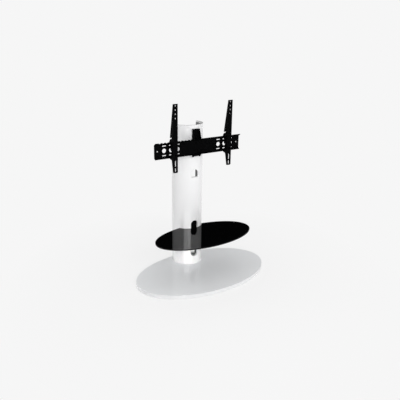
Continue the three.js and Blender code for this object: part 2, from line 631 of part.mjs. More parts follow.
function addMountBracket() {
  const half = BRACKET_WIDTH / 2;
  const toeTop = bracketBottom + BRACKET_TOE;
  const cheek = new THREE.Shape();
  cheek.moveTo(bracketBack, bracketTop);
  cheek.lineTo(bracketBack - BRACKET_TOP_DEPTH, bracketTop);
  cheek.lineTo(bracketFront, bracketTop - BRACKET_SLOPE);
  cheek.lineTo(bracketFront, toeTop);
  cheek.lineTo(bracketFront + BRACKET_TOE_SET, bracketBottom + BRACKET_TOE_ROUND);
  cheek.quadraticCurveTo(
    bracketFront + BRACKET_TOE_SET + BRACKET_TOE_ROUND / 3,
    bracketBottom,
    bracketFront + BRACKET_TOE_SET + BRACKET_TOE_ROUND,
    bracketBottom,
  );
  cheek.lineTo(bracketBack, bracketBottom);
  const cheeks = [-1, 1].map((side) => {
    const outer = side * half;
    const inner = side * (half - BRACKET_SHEET);
    return prismX(cheek, Math.min(outer, inner), Math.max(outer, inner));
  });
  const web = block(
    -half,
    half,
    bracketBack - BRACKET_SHEET,
    bracketBack,
    bracketBottom + BRACKET_WEB_TRIM,
    bracketTop,
  );
  const tabs = [-1, 1].map((side) => {
    const outer = side * half;
    const inner = side * (half - TAB_WIDTH);
    return block(
      Math.min(outer, inner),
      Math.max(outer, inner),
      bracketFront,
      bracketFront + BRACKET_SHEET,
      railWebBottom + TAB_MARGIN,
      railWebTop - TAB_MARGIN,
    );
  });
  const webHoles = mountBoltHeights.map((z) =>
    boltHoleY(0, z, MOUNT_BOLT_RADIUS, bracketBack - BRACKET_SHEET, bracketBack),
  );
  const tabHoles = railBoltPlaces.map(([x, z]) =>
    boltHoleY(x, z, RAIL_BOLT_RADIUS, bracketFront, bracketFront + BRACKET_SHEET),
  );
  const body = join(...cheeks, web, ...tabs);
  add(stand, "mount_bracket", cut(body, ...webHoles, ...tabHoles), blackSteel);

  const backingTop = mountBoltHeights[MOUNT_BOLT_COUNT - 1] + BACKING_MARGIN;
  const backingBottom = mountBoltHeights[0] - BACKING_MARGIN;
  const backingInner = linerRadius - BACKING_WALL;
  const backing = prismZ(
    band(linerRadius, backingInner, BACKING_HALF_ANGLE),
    backingBottom,
    backingTop,
    LINER_STEPS,
  );
  const backingFace = columnAxis - backingInner;
  const backingHoles = mountBoltHeights.map((z) =>
    boltHoleY(0, z, MOUNT_BOLT_RADIUS, columnAxis - linerRadius, backingFace),
  );
  add(stand, "backing_plate", cut(backing, ...backingHoles), blackSteel);

  const headRadius = MOUNT_BOLT_HEAD_ACROSS / Math.sqrt(3);
  const headBack = bracketBack - BRACKET_SHEET - SEAT;
  const nutFront = backingFace + backingInner - Math.sqrt(backingInner ** 2 - headRadius ** 2) + SEAT;
  const length = nutFront + MOUNT_NUT_HEIGHT + MOUNT_BOLT_STAND - headBack;
  mountBoltHeights.forEach((z, i) => {
    const bore = rod(MOUNT_BOLT_RADIUS + HOLE_GAP, SPACER_LENGTH + 2 * OVERRUN).translate(0, 0, -OVERRUN);
    const spacer = cut(rod(SPACER_RADIUS, SPACER_LENGTH), bore).rotateX(-Math.PI / 2);
    add(stand, `mount_spacer_${i + 1}`, spacer, blackSteel).position.set(0, spacerFront, z);
    const screw = bolt(headRadius, MOUNT_BOLT_HEAD, HEX_SIDES, MOUNT_BOLT_RADIUS, length);
    screw.rotateX(-Math.PI / 2);
    add(stand, `mount_bolt_${i + 1}`, screw, blackSteel).position.set(0, headBack, z);
    const hex = nut(MOUNT_BOLT_HEAD_ACROSS, MOUNT_NUT_HEIGHT, MOUNT_BOLT_RADIUS + SEAT).rotateX(-Math.PI / 2);
    add(stand, `mount_nut_${i + 1}`, hex, zincSteel).position.set(0, nutFront, z);
  });
}

const railHoleOffsets = Array.from(
  { length: RAIL_HOLE_COUNT },
  (_, i) => RAIL_HOLE_START + i * RAIL_HOLE_PITCH,
);

function addRail() {
  const profile = bentSheet(
    [
      [lipTip.y, lipTip.z],
      [railFace, railWebTop],
      [railFace, railWebBottom],
      [lowerLipTip.y, lowerLipTip.z],
    ],
    RAIL_SHEET,
  );
  const half = RAIL_LENGTH / 2;
  const bar = prismX(profile, -half, half);
  const cutters = [];
  const through = (shape, steps) =>
    cutters.push(prismY(shape, railFace - OVERRUN, railBack + OVERRUN, steps));
  for (const side of [-1, 1]) {
    for (const offset of railHoleOffsets) {
      through(disc(side * offset, railMiddle, RAIL_HOLE_RADIUS), 2 * DISC_STEPS);
      for (const up of [-1, 1]) {
        const height = railMiddle + up * RAIL_SLOT_OFFSET;
        through(slot(side * offset, height, RAIL_SLOT_LENGTH, RAIL_SLOT_WIDTH));
      }
    }
    through(disc(side * (half - RAIL_END_HOLE_INSET), railMiddle, RAIL_END_HOLE_RADIUS), DISC_STEPS);
  }
  for (const [x, z] of railBoltPlaces) {
    cutters.push(boltHoleY(x, z, RAIL_BOLT_RADIUS, railFace, railBack));
  }
  // The lip's edge is notched at half the holes' pitch, on the left half only.
  const step = RAIL_HOLE_PITCH / 2;
  const first = RAIL_HOLE_START + RAIL_HOLE_PITCH * (RAIL_HOLE_COUNT - 1) + 3 * (step / 2);
  for (let x = first; x > BRACKET_WIDTH / 2 + LIP_NOTCH_CLEAR; x -= step) {
    const height = lipTip.z + LIP_NOTCH_RADIUS - LIP_NOTCH_DEPTH + RAIL_SHEET / 2;
    const reach = lipTip.y - OVERRUN;
    cutters.push(prismY(disc(-x, height, LIP_NOTCH_RADIUS), reach, lipTip.y + LIP_REACH, DISC_STEPS));
  }
  add(stand, "rail", cut(bar, ...cutters), blackSteel);

  const tabBack = bracketFront + BRACKET_SHEET;
  const length = SEAT + tabBack - railFace + SEAT + RAIL_NUT_HEIGHT + RAIL_BOLT_STAND;
  railBoltPlaces.forEach(([x, z], i) => {
    const screw = bolt(RAIL_BOLT_HEAD_RADIUS, RAIL_BOLT_HEAD, BOLT_SIDES, RAIL_BOLT_RADIUS, length);
    screw.rotateX(-Math.PI / 2);
    add(stand, `rail_bolt_${i + 1}`, screw, blackSteel).position.set(x, railFace - SEAT, z);
    const hex = nut(RAIL_NUT_ACROSS, RAIL_NUT_HEIGHT, RAIL_BOLT_RADIUS + SEAT).rotateX(-Math.PI / 2);
    add(stand, `rail_nut_${i + 1}`, hex, zincSteel).position.set(x, tabBack + SEAT, z);
  });
}

// The cheek of a screen arm, drawn from the arm's face (y = armFace) towards the crossbar.
function armCheek() {
  const slope = Math.hypot(LIP_REACH, LIP_RISE);
  const run = { y: LIP_REACH / slope, z: -LIP_RISE / slope }; // down the lip, towards the web
  const normal = { y: -run.z, z: run.y }; // out of the lip's upper face
  const upper = (along, out) => [
    lipTip.y + run.y * along + normal.y * (RAIL_SHEET + out),
    lipTip.z + run.z * along + normal.z * (RAIL_SHEET + out),
  ];
  const throat = [lipTip.y - run.y * THROAT_GAP - normal.y * THROAT_GAP, lipTip.z - normal.z * THROAT_GAP];
  const fingerEnd = upper(HOOK_FINGER, SEAT);
  const taperFoot = railWebTop + ARM_TAPER_FOOT + SLIT_RISE + SLIT_END;
  const lobeBack = lowerLipTip.y - LOBE_CLEAR;
  const veeBottom = railMiddle - VEE_DROP - VEE_WIDTH;
  const lobeBottom = lowerLipTip.z - SEAT;
  return outline([
    [armFace, armBottom + ARM_CORNER],
    [armFace, armTop],
    [armFace + ARM_TOP_DEPTH, armTop],
    [armFace + ARM_DEPTH, taperFoot],
    [armFace + SLIT_BLIND, taperFoot + SLIT_RISE],
    [armFace + SLIT_BLIND, taperFoot + SLIT_RISE - SLIT_END],
    [lipTip.y + HOOK_SHOULDER[0], lipTip.z + HOOK_SHOULDER[1]],
    [fingerEnd[0] + normal.y, fingerEnd[1] + HOOK_FINGER_END / 2],
    fingerEnd,
    upper(-THROAT_GAP, SEAT),
    throat,
    [armFace + NECK_DEPTH, railWebTop - THROAT_GAP],
    [armFace + NECK_DEPTH, railMiddle + NECK_FOOT],
    [armFace + VEE_DEPTH, railMiddle - VEE_DROP],
    [armFace + (VEE_DEPTH + NECK_DEPTH) / 2, veeBottom],
    [lobeBack, lobeBottom + LOBE_FOOT],
    [lobeBack, lobeBottom],
    [lobeBack - LOBE_FOOT, lobeBottom - LOBE_FOOT / 2],
    [armFace + SHOULDER_DEPTH, lobeBottom - LOBE_FOOT],
    [armFace + ARM_FOOT_DEPTH, armBottom + ARM_CORNER],
  ]);
}

function armGeometry() {
  const half = ARM_WIDTH / 2;
  const inner = half - ARM_SHEET;
  const cheek = armCheek();
  const cheeks = [prismX(cheek, -half, -inner), prismX(cheek, inner, half)];
  const front = new THREE.Shape();
  front.moveTo(half, armTop);
  front.lineTo(-half, armTop);
  front.lineTo(-half, armBottom + ARM_CORNER);
  front.absarc(ARM_CORNER - half, armBottom + ARM_CORNER, ARM_CORNER, Math.PI, 1.5 * Math.PI, false);
  front.absarc(half - ARM_CORNER, armBottom + ARM_CORNER, ARM_CORNER, 1.5 * Math.PI, 2 * Math.PI, false);
  const face = prismY(front, armFace, armFace + ARM_SHEET);
  const clampHeight = railMiddle - CLAMP_DROP;
  const bridge = block(
    -inner - ARM_SHEET / 2,
    inner + ARM_SHEET / 2,
    armFace + BRIDGE_DEPTH,
    armFace + BRIDGE_DEPTH + BRIDGE_SHEET,
    clampHeight - BRIDGE_HALF,
    clampHeight + BRIDGE_HALF,
  );
  const cutters = [];
  const through = (shape, steps) =>
    cutters.push(prismY(shape, armFace - OVERRUN, armFace + ARM_SHEET + OVERRUN, steps));
  for (let i = 0; i < ARM_HOLE_COUNT; i++) {
    const height = armTop - ARM_HOLE_INSET - i * ARM_HOLE_PITCH;
    through(slot(0, height, ARM_HOLE_WIDTH, ARM_HOLE_HEIGHT));
  }
  for (const { bottom, height } of ARM_LONG_SLOTS) {
    through(slot(0, armBottom + bottom + height / 2, ARM_LONG_SLOT_WIDTH, height));
  }
  through(disc(0, clampHeight, CLAMP_HEAD_RADIUS + CLAMP_ACCESS_GAP), DISC_STEPS);
  const bridgeBack = armFace + BRIDGE_DEPTH + BRIDGE_SHEET;
  const thread = rod(CLAMP_RADIUS + SEAT, bridgeBack - armFace + OVERRUN)
    .rotateX(-Math.PI / 2)
    .translate(0, armFace, clampHeight);
  return cut(join(...cheeks, face, bridge), ...cutters, thread);
}

function addArms() {
  const clampHeight = railMiddle - CLAMP_DROP;
  const headBack = armFace + CLAMP_HEAD_START + CLAMP_HEAD;
  const length = railFace - SEAT - headBack;
  for (const [name, side] of [
    ["left", -1],
    ["right", 1],
  ]) {
    const group = new THREE.Group();
    group.position.x = (side * ARM_SPACING) / 2 + ARM_SHIFT;
    stand.add(group);
    add(group, `arm_${name}`, armGeometry(), blackSteel);
    const screw = bolt(CLAMP_HEAD_RADIUS, CLAMP_HEAD, BOLT_SIDES, CLAMP_RADIUS, length);
    screw.rotateX(-Math.PI / 2);
    add(group, `clamp_screw_${name}`, screw, blackSteel).position.set(0, headBack, clampHeight);
  }
}

addBase();
addFoot();
addColumn();
addShelf();
addMountBracket();
addRail();
addArms();

export default stand;
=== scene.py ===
import math

import bpy
from mathutils import Matrix, Vector


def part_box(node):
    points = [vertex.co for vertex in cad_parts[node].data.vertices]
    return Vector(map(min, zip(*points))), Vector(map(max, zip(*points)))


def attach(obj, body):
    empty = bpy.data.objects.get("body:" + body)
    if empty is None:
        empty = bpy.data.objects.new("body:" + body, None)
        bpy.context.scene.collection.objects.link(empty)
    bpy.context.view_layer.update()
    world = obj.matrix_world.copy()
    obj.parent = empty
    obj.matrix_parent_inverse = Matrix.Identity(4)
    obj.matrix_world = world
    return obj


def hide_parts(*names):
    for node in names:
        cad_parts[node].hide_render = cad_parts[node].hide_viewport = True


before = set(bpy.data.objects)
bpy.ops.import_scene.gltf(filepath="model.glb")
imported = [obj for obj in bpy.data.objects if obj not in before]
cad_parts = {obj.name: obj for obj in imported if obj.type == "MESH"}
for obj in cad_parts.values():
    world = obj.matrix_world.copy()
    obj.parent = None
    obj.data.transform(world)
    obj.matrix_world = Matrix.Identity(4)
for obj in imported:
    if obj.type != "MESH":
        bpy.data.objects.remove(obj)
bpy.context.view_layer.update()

# Camera: the photographer stands to the left of the stand's front, a little above the top of
# its arms, and looks down at it.
camera_data = bpy.data.cameras.new("camera")
camera = bpy.data.objects.new("camera", camera_data)
bpy.context.scene.collection.objects.link(camera)
camera.location = (-1.4372, -2.2679, 1.4855)
camera.rotation_euler = (math.radians(90 - 19.335), 0, math.radians(-29.486))
camera_data.lens = 40.04
camera_data.shift_x = 0.0461
camera_data.shift_y = -0.0057
bpy.context.scene.camera = camera
bpy.context.scene.view_settings.view_transform = "Standard"

# Studio: a pale floor and surround that meet without a seam. Glossy pieces see a room that is pale
# at the horizon and dark overhead, with one round white panel in front and a little to the left,
# so black glass stays black. Matt pieces are lit a little more from the horizon than from above.
PALE = (0.922, 0.922, 0.922, 1)
BLACK = (0, 0, 0, 1)
WHITE = (1, 1, 1, 1)
SOFT_LEVELS = [(0.0, 1.02), (0.15, 0.98), (0.35, 0.87), (0.6, 0.76), (0.8, 0.64)]
HORIZON_END, DARK_START = 0.03, 0.13
PANEL_TURN, PANEL_RISE = math.radians(-27.5), math.radians(20)
PANEL_EDGE = (0.912, 0.915)
PANEL_LEVEL = 22.0


def add_node(owner, kind, settings=None, **sockets):
    node = owner.node_tree.nodes.new(kind)
    for key, value in (settings or {}).items():
        setattr(node, key, value)
    for key, value in sockets.items():
        node.inputs[key.replace("_", " ")].default_value = value
    return node


def wire(owner, source, outlet, target, inlet):
    owner.node_tree.links.new(source.outputs[outlet], target.inputs[inlet])


world = bpy.data.worlds.new("studio")
bpy.context.scene.world = world
world.use_nodes = True
world.node_tree.nodes.clear()
sky_out = add_node(world, "ShaderNodeOutputWorld")
ray = add_node(world, "ShaderNodeLightPath")
direction = add_node(world, "ShaderNodeTexCoord")
height = add_node(world, "ShaderNodeSeparateXYZ")
wire(world, direction, "Generated", height, "Vector")
soft_ramp = add_node(world, "ShaderNodeValToRGB")
soft_stops = soft_ramp.color_ramp.elements
soft_stops[-1].position = SOFT_LEVELS[-1][0]
for place, grey in SOFT_LEVELS[1:-1]:
    soft_stops.new(place)
for stop, (place, grey) in zip(soft_stops, SOFT_LEVELS):
    stop.color = (grey, grey, grey, 1)
wire(world, height, "Z", soft_ramp, "Fac")
gloss_ramp = add_node(world, "ShaderNodeValToRGB")
gloss_stops = gloss_ramp.color_ramp.elements
gloss_stops[0].position, gloss_stops[0].color = HORIZON_END, PALE
gloss_stops[1].position, gloss_stops[1].color = DARK_START, BLACK
wire(world, height, "Z", gloss_ramp, "Fac")
panel = add_node(world, "ShaderNodeVectorMath", {"operation": "DOT_PRODUCT"})
wire(world, direction, "Generated", panel, "Vector")
panel.inputs[1].default_value = (
    math.sin(PANEL_TURN) * math.cos(PANEL_RISE),
    -math.cos(PANEL_TURN) * math.cos(PANEL_RISE),
    math.sin(PANEL_RISE),
)
panel_edge = add_node(
    world, "ShaderNodeMapRange",
    From_Min=PANEL_EDGE[0], From_Max=PANEL_EDGE[1], To_Min=0.0, To_Max=PANEL_LEVEL,
)
wire(world, panel, "Value", panel_edge, "Value")
room_light = add_node(world, "ShaderNodeBackground", Strength=1.0)
room_gloss = add_node(world, "ShaderNodeBackground", Strength=1.0)
room_seen = add_node(world, "ShaderNodeBackground", Color=PALE, Strength=1.0)
room_panel = add_node(world, "ShaderNodeBackground", Color=WHITE)
wire(world, soft_ramp, "Color", room_light, "Color")
wire(world, gloss_ramp, "Color", room_gloss, "Color")
wire(world, panel_edge, "Result", room_panel, "Strength")
gloss_sum = add_node(world, "ShaderNodeAddShader")
wire(world, room_gloss, 0, gloss_sum, 0)
wire(world, room_panel, 0, gloss_sum, 1)
gloss_mix = add_node(world, "ShaderNodeMixShader")
wire(world, ray, "Is Glossy Ray", gloss_mix, "Fac")
wire(world, room_light, 0, gloss_mix, 1)
wire(world, gloss_sum, 0, gloss_mix, 2)
seen_rays = add_node(world, "ShaderNodeMath", {"operation": "MAXIMUM"})
wire(world, ray, "Is Camera Ray", seen_rays, 0)
wire(world, ray, "Is Transmission Ray", seen_rays, 1)
seen_mix = add_node(world, "ShaderNodeMixShader")
wire(world, seen_rays, 0, seen_mix, "Fac")
wire(world, gloss_mix, 0, seen_mix, 1)
wire(world, room_seen, 0, seen_mix, 2)
wire(world, seen_mix, "Shader", sky_out, "Surface")

# Floor: matt near the stand, where it takes the soft shadow, and fading to the surround's own tone
# further out. Reflections in the glass see it evenly lit.
FLOOR_RADIUS = 30
FADE_START, FADE_END = 0.4, 1.3
SHADOW_SHARE = 0.8
bpy.ops.object.select_all(action="DESELECT")
bpy.ops.mesh.primitive_circle_add(
    vertices=96, radius=FLOOR_RADIUS, fill_type="NGON", location=(0, 0, 0)
)
floor = bpy.context.object
floor.name = "floor"
floor_paint = bpy.data.materials.new("pale_floor")
floor_paint.use_nodes = True
floor_paint.node_tree.nodes.clear()
floor_out = add_node(floor_paint, "ShaderNodeOutputMaterial")
floor_ray = add_node(floor_paint, "ShaderNodeLightPath")
floor_place = add_node(floor_paint, "ShaderNodeTexCoord")
floor_reach = add_node(floor_paint, "ShaderNodeVectorMath", {"operation": "LENGTH"})
wire(floor_paint, floor_place, "Object", floor_reach, "Vector")
floor_fade = add_node(
    floor_paint, "ShaderNodeMapRange",
    From_Min=FADE_START, From_Max=FADE_END, To_Min=SHADOW_SHARE, To_Max=1.0,
)
wire(floor_paint, floor_reach, "Value", floor_fade, "Value")
floor_glow = add_node(floor_paint, "ShaderNodeEmission", Color=PALE, Strength=1.0)
floor_matt = add_node(floor_paint, "ShaderNodeBsdfDiffuse", Color=(0.9, 0.9, 0.9, 1))
floor_clear = add_node(floor_paint, "ShaderNodeMath", {"operation": "MAXIMUM"})
wire(floor_paint, floor_ray, "Is Glossy Ray", floor_clear, 0)
wire(floor_paint, floor_ray, "Is Transmission Ray", floor_clear, 1)
floor_seen = add_node(floor_paint, "ShaderNodeMath", {"operation": "MAXIMUM"})
wire(floor_paint, floor_ray, "Is Camera Ray", floor_seen, 0)
wire(floor_paint, floor_clear, 0, floor_seen, 1)
floor_share = add_node(floor_paint, "ShaderNodeMath", {"operation": "MULTIPLY"})
wire(floor_paint, floor_fade, "Result", floor_share, 0)
wire(floor_paint, floor_seen, 0, floor_share, 1)
floor_mix = add_node(floor_paint, "ShaderNodeMixShader")
wire(floor_paint, floor_share, 0, floor_mix, "Fac")
wire(floor_paint, floor_matt, 0, floor_mix, 1)
wire(floor_paint, floor_glow, 0, floor_mix, 2)
wire(floor_paint, floor_mix, "Shader", floor_out, "Surface")
floor.data.materials.append(floor_paint)

# Lamps: two large softboxes in front, and a small narrow one low on each side for the wall under
# the shelf. Each row holds a place, a point aimed at, a disc's width, a spread and a power.
LAMPS = [
    ("front_softbox", (0.8, -3.3, 0.4), (0, 0.05, 0.55), 0.9, 180, 3),
    ("top_softbox", (-0.6, -3.3, 2.1), (0, 0.05, 0.55), 1.6, 180, 56),
    ("left_foot_softbox", (-2.3, -0.6, 0.13), (0, 0.12, 0.12), 0.2, 4, 0.042),
    ("right_foot_softbox", (2.3, -0.6, 0.13), (0, 0.12, 0.12), 0.2, 4, 0.038),
]
for lamp_name, place, aim_at, width, spread, power in LAMPS:
    lamp_data = bpy.data.lights.new(lamp_name, "AREA")
    lamp_data.shape = "DISK"
    lamp_data.size = width
    lamp_data.spread = math.radians(spread)
    lamp_data.energy = power
    lamp = bpy.data.objects.new(lamp_name, lamp_data)
    bpy.context.scene.collection.objects.link(lamp)
    lamp.location = place
    aim = Vector(aim_at) - Vector(place)
    lamp.rotation_euler = aim.to_track_quat("-Z", "Y").to_euler()

# Base board: an oval of dense board with a rounded edge, sprayed in white gloss lacquer that dries
# duller round the side, where its tone is also darker as painted shade. Four counterbores
# underneath take the bolts that hold the column's foot.
board_low, board_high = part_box("base_board")
board_middle = (board_low + board_high) / 2
OVAL_SIDES = 224
EDGE_ROUND = 0.0026
FOOT_HOLE = 0.0045
FOOT_HOLE_CUT = 0.04
SINK_RADIUS = 0.0085
SINK_CUT, SINK_RISE = 0.01, 0.001
SIDE_TILT = 0.5
SOFT_CORNER = math.radians(36)
SMOOTH_TURN = math.radians(34)
CUTTER_SIDES = 32
ALONG_Y = (math.pi / 2, 0, 0)
TINY = 0.0001
WELD = 0.00001


def named(name, scale=(1, 1, 1)):
    piece = bpy.context.object
    piece.name = piece.data.name = name
    piece.scale = scale
    bpy.ops.object.transform_apply(location=True, rotation=True, scale=True)
    return piece


def only(piece):
    bpy.ops.object.select_all(action="DESELECT")
    piece.select_set(True)
    bpy.context.view_layer.objects.active = piece


def worked(piece, kind, **settings):
    only(piece)
    step = piece.modifiers.new(kind.lower(), kind)
    for key, value in settings.items():
        setattr(step, key, value)
    bpy.ops.object.modifier_apply(modifier=step.name)


def soften(piece, width, segments=3):
    worked(
        piece, "BEVEL", width=width, segments=segments, limit_method="ANGLE",
        angle_limit=SOFT_CORNER, use_clamp_overlap=True,
    )
    bpy.ops.object.shade_smooth_by_angle(angle=SMOOTH_TURN)
    worked(piece, "WEIGHTED_NORMAL", keep_sharp=True)


def joined(cutters):
    bpy.ops.object.select_all(action="DESELECT")
    for cutter in cutters:
        cutter.select_set(True)
    bpy.context.view_layer.objects.active = cutters[0]
    if len(cutters) > 1:
        bpy.ops.object.join()
    return bpy.context.object


def cut_out(piece, *cutters):
    cutter = joined(list(cutters))
    worked(piece, "BOOLEAN", operation="DIFFERENCE", object=cutter, solver="EXACT")
    bpy.data.objects.remove(cutter)


def round_bar(place, radius, depth, sides=CUTTER_SIDES, turn=(0, 0, 0)):
    bpy.ops.object.select_all(action="DESELECT")
    bpy.ops.mesh.primitive_cylinder_add(
        vertices=sides, radius=radius, depth=depth, location=place, rotation=turn
    )
    return named("cutter")


def middle_of(node):
    low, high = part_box(node)
    return (low + high) / 2


def numbered(stem, count):
    return [f"{stem}_{i}" for i in range(1, count + 1)]


bpy.ops.object.select_all(action="DESELECT")
bpy.ops.mesh.primitive_cylinder_add(
    vertices=OVAL_SIDES, radius=1, depth=board_high.z - board_low.z, location=board_middle
)
base_board = named("base_board_lacquered", (board_high.x, board_high.y, 1))
bolt_places = [middle_of(node) for node in numbered("foot_bolt", 4)]
for radius, level, cut in [
    (FOOT_HOLE, board_middle.z, FOOT_HOLE_CUT),
    (SINK_RADIUS, board_low.z + SINK_RISE, SINK_CUT),
]:
    cut_out(base_board, *[round_bar((p.x, p.y, level), radius, cut) for p in bolt_places])
soften(base_board, EDGE_ROUND, 5)


def lacquer(name, colour, roughness, peel, ior, coating):
    """White lacquer: slight unevenness in tone and gloss, and the fine ripple of a sprayed coat."""
    material = bpy.data.materials.new(name)
    material.use_nodes = True
    material.node_tree.nodes.clear()
    out = add_node(material, "ShaderNodeOutputMaterial")
    coat = add_node(
        material, "ShaderNodeBsdfPrincipled", IOR=ior, Coat_Weight=coating, Coat_Roughness=0.03
    )
    wire(material, coat, "BSDF", out, "Surface")
    place = add_node(material, "ShaderNodeTexCoord")
    cloud = add_node(material, "ShaderNodeTexNoise", Scale=5.0, Detail=3.0, Roughness=0.55)
    wire(material, place, "Object", cloud, "Vector")
    tone = add_node(material, "ShaderNodeValToRGB")
    tone.color_ramp.elements[0].position = 0.3
    tone.color_ramp.elements[0].color = tuple(0.972 * c for c in colour) + (1,)
    tone.color_ramp.elements[1].position = 0.7
    tone.color_ramp.elements[1].color = tuple(colour) + (1,)
    wire(material, cloud, "Fac", tone, "Fac")
    wire(material, tone, "Color", coat, "Base Color")
    haze = add_node(material, "ShaderNodeTexNoise", Scale=18.0, Detail=4.0, Roughness=0.6)
    wire(material, place, "Object", haze, "Vector")
    gloss = add_node(
        material, "ShaderNodeMapRange",
        From_Min=0.3, From_Max=0.7, To_Min=roughness * 0.85, To_Max=roughness * 1.2,
    )
    wire(material, haze, "Fac", gloss, "Value")
    wire(material, gloss, "Result", coat, "Roughness")
    ripple = add_node(material, "ShaderNodeTexNoise", Scale=210.0, Detail=2.0, Roughness=0.5)
    wire(material, place, "Object", ripple, "Vector")
    bump = add_node(material, "ShaderNodeBump", Strength=peel, Distance=0.0002)
    wire(material, ripple, "Fac", bump, "Height")
    wire(material, bump, "Normal", coat, "Normal")
    return material, coat, tone, place


gloss_white = lacquer(
    "white_gloss_lacquer", (0.862, 0.874, 0.886), roughness=0.08, peel=0.06, ior=1.5, coating=0.0
)[0]
# The side faces get a duller copy of the lacquer with a darker tone: painted shade for the rounded
# side.
shaded_edge_white = lacquer(
    "white_lacquer_painted_shade_edge", (0.74, 0.745, 0.75), roughness=0.4, peel=0.1, ior=1.2, coating=0.0
)[0]
base_board.data.materials.append(gloss_white)
base_board.data.materials.append(shaded_edge_white)
for face in base_board.data.polygons:
    if abs(face.normal.z) < SIDE_TILT:
        face.material_index = 1
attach(base_board, "stand")
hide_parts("base_board")

# Floor pads: moulded rubber discs pressed into the underside of the base, each with a dished
# middle.
PAD_COUNT = 6
DISC_TURN = math.radians(40)


def plain_finish(name, dark, light, cloud, gloss, grain=None, bump=None, **skin_looks):
    """A plain finish: slow drifts in tone and gloss, and a fine grain where the surface has one."""
    material = bpy.data.materials.new(name)
    material.use_nodes = True
    material.node_tree.nodes.clear()
    out = add_node(material, "ShaderNodeOutputMaterial")
    skin = add_node(material, "ShaderNodeBsdfPrincipled", **skin_looks)
    wire(material, skin, "BSDF", out, "Surface")
    place = add_node(material, "ShaderNodeTexCoord")
    scale, detail, roughness = cloud
    drift = add_node(
        material, "ShaderNodeTexNoise", Scale=scale, Detail=detail, Roughness=roughness
    )
    wire(material, place, "Object", drift, "Vector")
    tone = add_node(material, "ShaderNodeValToRGB")
    tone.color_ramp.elements[0].color = (*dark, 1)
    tone.color_ramp.elements[1].color = (*light, 1)
    wire(material, drift, "Fac", tone, "Fac")
    wire(material, tone, "Color", skin, "Base Color")
    sheen = add_node(material, "ShaderNodeMapRange", To_Min=gloss[0], To_Max=gloss[1])
    wire(material, drift, "Fac", sheen, "Value")
    wire(material, sheen, "Result", skin, "Roughness")
    if grain:
        fine = add_node(material, "ShaderNodeTexNoise", Scale=grain, Detail=2.0)
        wire(material, place, "Object", fine, "Vector")
        relief = add_node(material, "ShaderNodeBump", Strength=bump[0], Distance=bump[1])
        wire(material, fine, "Fac", relief, "Height")
        wire(material, relief, "Normal", skin, "Normal")
    return material


rubber = plain_finish(
    "black_rubber", (0.010, 0.010, 0.011), (0.026, 0.026, 0.027),
    cloud=(60.0, 4.0, 0.6), gloss=(0.7, 0.95), grain=900.0, bump=(0.3, 0.0002), IOR=1.5,
)


def turned(name, profile, sides=36):
    """A round piece on the Z axis, raised ring by ring; profile holds (radius, height) pairs."""
    radius, level = profile[0]
    bpy.ops.object.select_all(action="DESELECT")
    bpy.ops.mesh.primitive_circle_add(
        vertices=sides, radius=radius, fill_type="NGON", location=(0, 0, level)
    )
    piece = named(name)
    bpy.ops.object.mode_set(mode="EDIT")
    bpy.ops.mesh.select_all(action="SELECT")
    for next_radius, next_level in profile[1:]:
        bpy.ops.mesh.extrude_region_move(
            TRANSFORM_OT_translate={"value": (0, 0, next_level - level)}
        )
        share = next_radius / radius
        bpy.ops.transform.resize(value=(share, share, 1), center_override=(0, 0, next_level))
        radius, level = next_radius, next_level
    bpy.ops.mesh.select_all(action="SELECT")
    bpy.ops.mesh.normals_make_consistent(inside=False)
    bpy.ops.object.mode_set(mode="OBJECT")
    return piece


def copied(piece, name, move, material):
    """A copy with its own mesh, moved by a matrix, and with its material."""
    twin = bpy.data.objects.new(name, piece.data.copy())
    bpy.context.scene.collection.objects.link(twin)
    twin.data.name = name
    twin.data.transform(move)
    twin.data.materials.clear()
    twin.data.materials.append(material)
    return twin


pad_low, pad_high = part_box("base_pad_1")
pad_radius = (pad_high.x - pad_low.x) / 2
DISH_DEPTH, DISH_LIP = 0.0015, 0.0003
pad_height = pad_high.z
pad_pattern = turned(
    "pad_pattern",
    [
        (pad_radius * 0.45, DISH_DEPTH),
        (pad_radius * 0.55, DISH_LIP),
        (pad_radius * 0.62, 0),
        (pad_radius * 0.88, 0),
        (pad_radius * 0.97, 0.0006),
        (pad_radius, 0.0018),
        (pad_radius, pad_height - 0.0008),
        (pad_radius * 0.96, pad_height),
    ],
)
bpy.ops.object.shade_smooth_by_angle(angle=DISC_TURN)
for node in numbered("base_pad", PAD_COUNT):
    pad_middle = middle_of(node)
    move = Matrix.Translation((pad_middle.x, pad_middle.y, 0))
    pad = copied(pad_pattern, f"{node}_rubber", move, rubber)
    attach(pad, "stand")
    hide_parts(node)
bpy.data.objects.remove(pad_pattern)

# Column: a thick wall of laminate bent to most of a circle, open at the back, with three
# openings cut through its front. The outside, the cuts and the rim are lacquered white, and the
# inner face below the rim is grey: painted shade for the shaded inside of the column.
column_low, column_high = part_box("column")
COLUMN_WALL = 0.012
COLUMN_SPREAD = math.radians(111)
COLUMN_STEPS = 112
COLUMN_EDGE = 0.0012
OPENING_WIDTH = 0.051
OPENING_CUT, OPENING_SIDES = 0.08, 48
FOOT_OPENING_RISE, FOOT_OPENING_HEIGHT = 0.0588, 0.108
SHELF_OPENING_RISE, SHELF_OPENING_DROP = 0.0535, 0.064
ARCH_DROP, ARCH_HEIGHT = 0.2873, 0.0512
MOUNT_HOLE, MOUNT_HOLE_CUT, MOUNT_HOLE_SIDES = 0.0045, 0.06, 24
